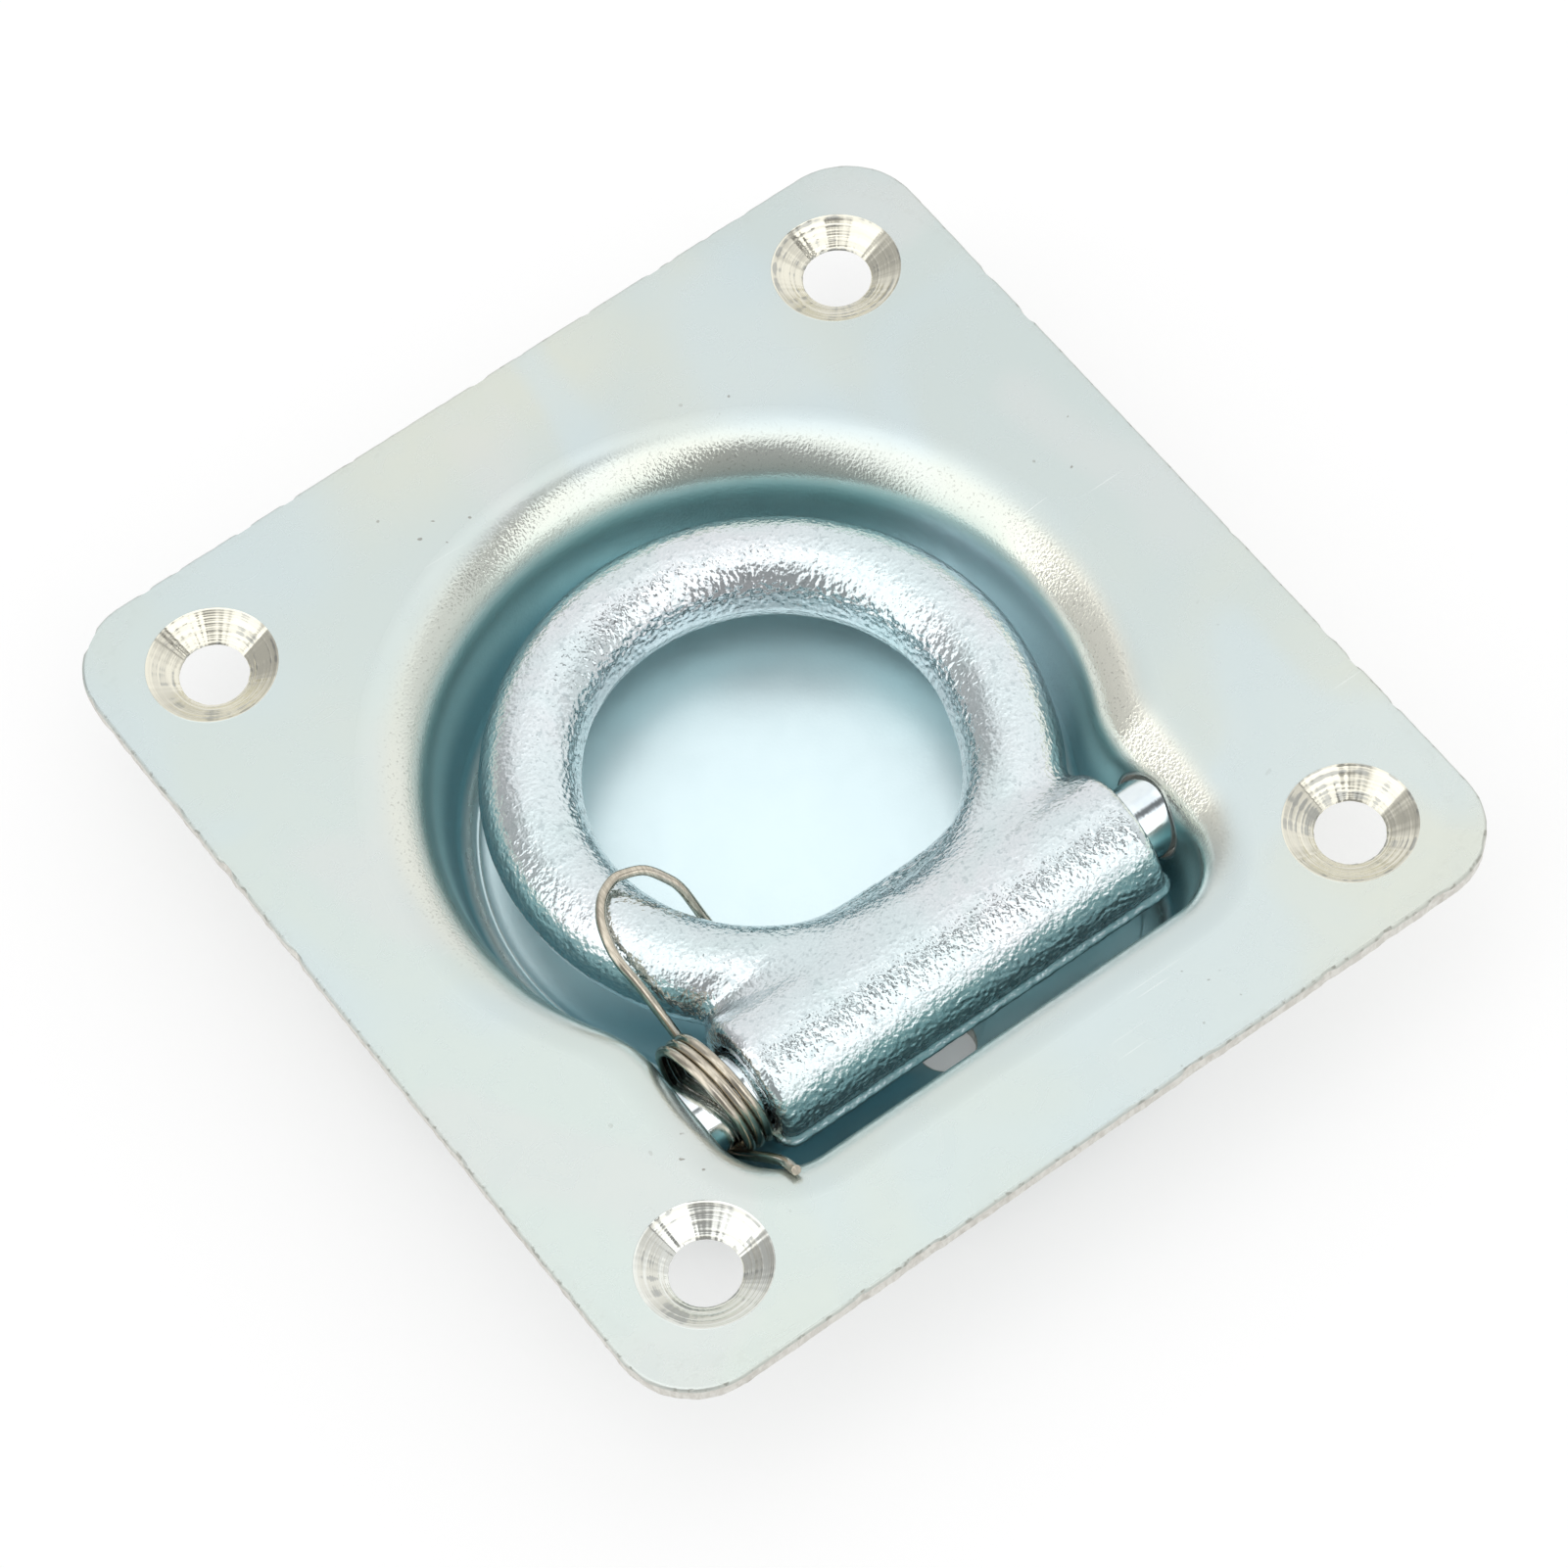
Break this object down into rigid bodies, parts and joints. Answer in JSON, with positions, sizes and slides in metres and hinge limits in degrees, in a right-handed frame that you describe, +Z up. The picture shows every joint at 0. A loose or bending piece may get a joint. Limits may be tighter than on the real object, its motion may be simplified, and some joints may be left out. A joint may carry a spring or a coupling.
{
  "type": "recessed lashing ring",
  "caption": "Recessed lashing ring: a forged ring on a pin lies flush in a pressed dish plate, held down by a torsion spring; countersunk corner holes take screws.",
  "frame": {"origin": "under the centre of the plate, on the underside of the dish floor", "axes": "+X along the hinge pin, from the spring end to the plain end; +Y from the pin to the far side of the ring; +Z up, out of the dish"},
  "size_m": [0.1016, 0.1078, 0.0185],
  "materials": {
    "zinc_sheet": "blue-white zinc plating, softly polished",
    "zinc_forging": "zinc plating over a grainy forged skin",
    "bright_pin": "bright zinc plating, mirror-like",
    "spring_wire": "drawn spring steel, brownish grey"
  },
  "bodies": {
    "pan": {"dish_plate": "zinc_sheet", "pivot_pin": "bright_pin", "torsion_spring": "spring_wire"},
    "ring": {"ring": "zinc_forging"}
  },
  "joints": [
    {"name": "ring_hinge", "type": "hinge", "parent": "pan", "child": "ring", "pos_m": [0, -0.02595, 0.0105], "axis": [1, 0, 0], "range_deg": [0, 135], "stiffness_Nm_per_rad": 0.09, "springref_deg": -11.46, "deforming": ["torsion_spring"]}
  ]
}
